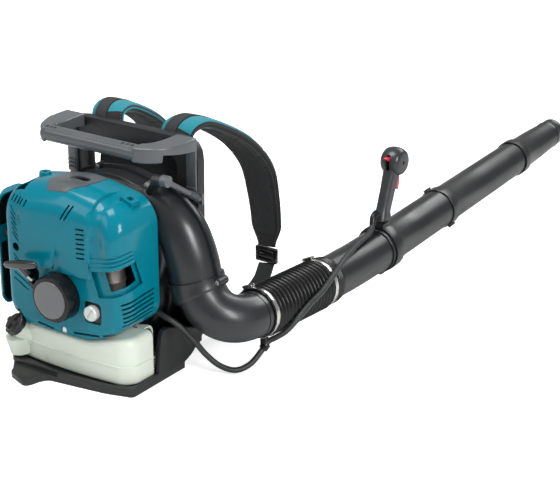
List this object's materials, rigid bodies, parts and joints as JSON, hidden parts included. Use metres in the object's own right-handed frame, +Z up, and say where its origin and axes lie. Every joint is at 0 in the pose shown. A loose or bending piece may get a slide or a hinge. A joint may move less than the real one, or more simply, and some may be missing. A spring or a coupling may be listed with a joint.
{
  "type": "backpack leaf blower",
  "caption": "Petrol backpack blower with a scroll fan on a carrying frame, padded straps, a ribbed hose and a pipe line with a control handle.",
  "frame": {"origin": "on the ground under the crankshaft's axis, in the machine's centre plane", "axes": "+X towards the pipe side, +Y from the engine towards the wearer's back and along the pipes, +Z up"},
  "size_m": [0.5776, 1.7073, 0.4961],
  "materials": {
    "cover_teal": "gloss",
    "frame_black": "satin",
    "casing_dark": "satin",
    "pipe_black": "satin",
    "hose_rubber": "satin",
    "steel": "satin",
    "aluminium": "satin",
    "tank_plastic": "satin",
    "grey_plastic": "satin",
    "silver_plastic": "satin",
    "red_plastic": "satin",
    "webbing": "matte",
    "white_ceramic": "gloss"
  },
  "bodies": {
    "machine": {"frame_base": "frame_black", "frame_upright": "frame_black", "carry_handle": "casing_dark", "scroll_front_shell": "casing_dark", "scroll_rear_shell": "casing_dark", "intake_guard": "frame_black", "elbow": "casing_dark", "hose_rear": "hose_rubber", "hose_clamp_rear": "steel", "cable_loop": "hose_rubber", "cable_clip": "frame_black", "cable_hose_rear": "hose_rubber", "fuel_tank": "tank_plastic", "engine_cover": "cover_teal", "plug_cover": "casing_dark", "air_cleaner_cover": "cover_teal", "crankcase": "aluminium", "cylinder": "aluminium", "rocker_cover": "aluminium", "spark_plug": "white_ceramic", "muffler": "steel", "carburettor": "aluminium", "starter_housing": "frame_black", "starter_badge": "grey_plastic", "oil_filler": "frame_black", "cover_bolt": "steel", "damper_spring_right": "steel", "damper_spring_left": "steel", "engine_cradle": "frame_black", "rubber_mount_left": "hose_rubber", "rubber_mount_right": "hose_rubber", "back_pad": "webbing", "shoulder_strap_right": "webbing", "shoulder_strap_left": "webbing", "strap_webbing_right": "webbing", "strap_webbing_left": "webbing", "strap_buckle_right": "frame_black", "strap_buckle_left": "frame_black"},
    "fan": {"fan_impeller": "casing_dark", "crankshaft": "steel"},
    "pull_grip": {"starter_handle": "frame_black", "starter_rope": "white_ceramic"},
    "rope_drum": {"starter_drum": "grey_plastic"},
    "tank_cap": {"fuel_cap": "frame_black"},
    "oil_plug": {"oil_cap": "silver_plastic"},
    "primer": {"primer_bulb": "red_plastic"},
    "choke": {"choke_lever": "frame_black"},
    "hose_middle": {"hose_front": "hose_rubber", "cable_hose_front": "hose_rubber"},
    "hose_cuff": {"hose_clamp_front": "steel", "swivel_ring": "pipe_black"},
    "pipe": {"swivel_pipe": "pipe_black", "middle_pipe": "pipe_black", "long_pipe": "pipe_black", "nozzle": "pipe_black", "handle_clamp": "casing_dark", "control_grip": "grey_plastic", "cable_pipe": "hose_rubber"},
    "trigger": {"throttle_trigger": "red_plastic"},
    "speed_set": {"speed_lever": "red_plastic"}
  },
  "joints": [
    {"name": "fan_spin", "type": "hinge", "parent": "machine", "child": "fan", "pos_m": [0, 0, 0.185], "axis": [0, 1, 0], "continuous": true},
    {"name": "starter_pull", "type": "slide", "parent": "machine", "child": "pull_grip", "axis": [-0.2059, -0.6277, 0.7507], "range_m": [0, 0.7], "stiffness_N_per_m": 12, "springref_m": -0.4, "deforming": ["starter_rope"]},
    {"name": "drum_turn", "type": "hinge", "parent": "machine", "child": "rope_drum", "pos_m": [0, -0.139, 0.185], "axis": [0, 1, 0], "range_deg": [0, 1500]},
    {"name": "tank_cap_turn", "type": "hinge", "parent": "machine", "child": "tank_cap", "pos_m": [-0.12224, -0.15316, 0.08557], "axis": [-0.3011, -0.6222, 0.7226], "range_deg": [0, 360]},
    {"name": "oil_cap_turn", "type": "hinge", "parent": "machine", "child": "oil_plug", "pos_m": [0.082, -0.155, 0.166], "axis": [0, -1, 0], "range_deg": [0, 360]},
    {"name": "primer_push", "type": "slide", "parent": "machine", "child": "primer", "axis": [0, 1, 0], "range_m": [0, 0.006], "stiffness_N_per_m": 300, "springref_m": -0.005},
    {"name": "choke_turn", "type": "hinge", "parent": "machine", "child": "choke", "pos_m": [-0.196, -0.0245, 0.184], "axis": [0, 1, 0], "range_deg": [0, 70]},
    {"name": "hose_pitch", "type": "hinge", "parent": "machine", "child": "hose_middle", "pos_m": [0.294, 0.16688, 0.11823], "axis": [1, 0, 0], "range_deg": [-25, 25], "deforming": ["hose_rear", "cable_hose_rear"]},
    {"name": "hose_yaw", "type": "hinge", "parent": "hose_middle", "child": "hose_cuff", "pos_m": [0.294, 0.28664, 0.1107], "axis": [0, 0, 1], "range_deg": [-25, 25], "deforming": ["hose_front", "cable_hose_front"]},
    {"name": "pipe_swivel", "type": "hinge", "parent": "hose_cuff", "child": "pipe", "pos_m": [0.294, 0.3585, 0.10618], "axis": [0, 0.998, -0.0628], "range_deg": [-40, 40], "deforming": ["cable_pipe"]},
    {"name": "trigger_squeeze", "type": "hinge", "parent": "pipe", "child": "trigger", "pos_m": [0.294, 0.65514, 0.26829], "axis": [-1, 0, 0], "range_deg": [0, 18], "stiffness_Nm_per_rad": 0.4, "springref_deg": -17.19},
    {"name": "speed_set_turn", "type": "hinge", "parent": "pipe", "child": "speed_set", "pos_m": [0.294, 0.64045, 0.30509], "axis": [1, 0, 0], "range_deg": [0, 30]}
  ],
  "couplings": [
    {"joint": "drum_turn", "follows": "starter_pull", "rad_per_m": 35.714}
  ]
}
